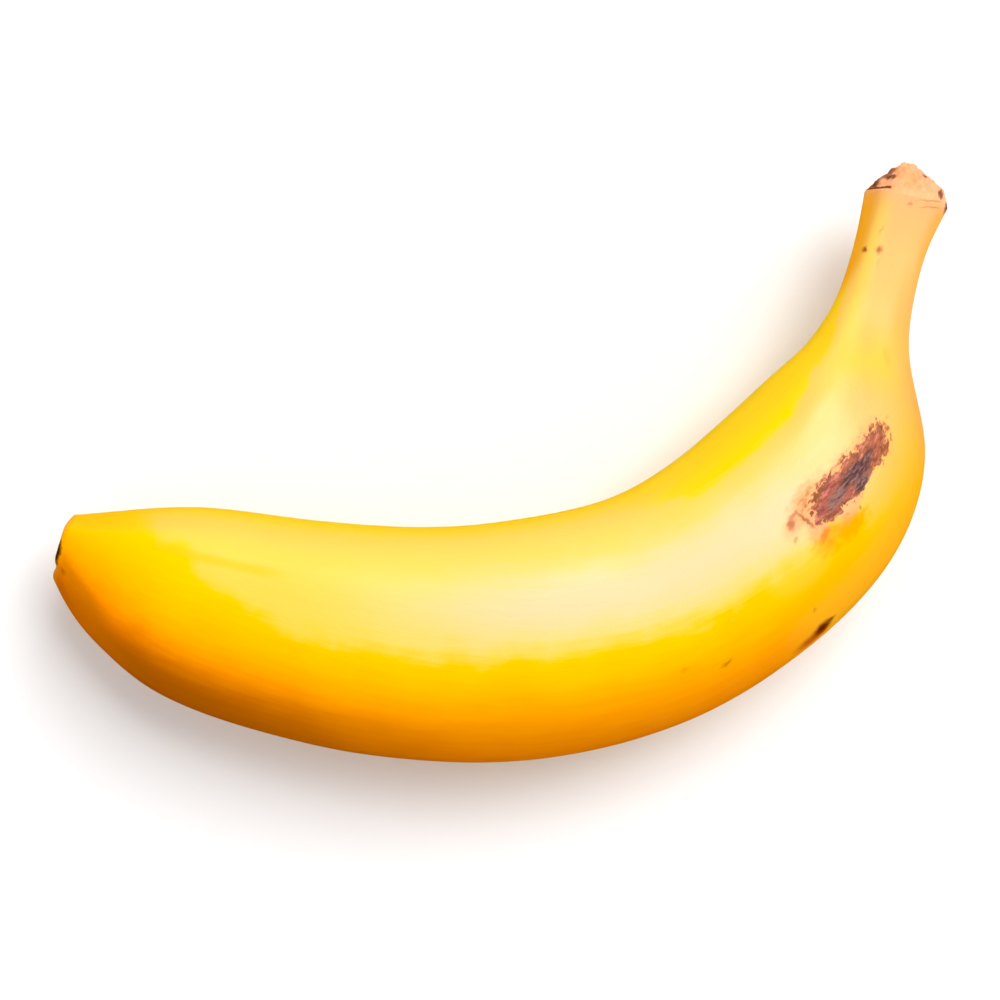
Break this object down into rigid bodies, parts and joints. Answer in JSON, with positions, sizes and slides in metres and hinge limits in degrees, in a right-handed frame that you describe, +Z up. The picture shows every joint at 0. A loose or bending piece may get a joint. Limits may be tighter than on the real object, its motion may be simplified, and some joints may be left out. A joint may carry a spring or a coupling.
{
  "type": "banana",
  "caption": "Ripe yellow banana lying on its side, with blunt ridges along its curved body, a short neck ending in a torn stump, and a small dry scar at the flower end.",
  "frame": {"origin": "middle of the bounding box's underside, on the surface that the banana lies on", "axes": "the bend lies in the XY plane; +X runs from the flower end towards the stem's side, along the longest extent; +Y runs from the outer edge of the bend towards the stem; +Z is up, across the bend"},
  "size_m": [0.1434, 0.0958, 0.0345],
  "materials": {
    "peel": "ripe yellow peel with a waxy satin sheen, deeper orange towards the outer edge, with brown bruises and spots; the torn stump is pale pinkish tan and the flower scar dark brown"
  },
  "bodies": {
    "root": {"banana": "peel"}
  },
  "joints": []
}
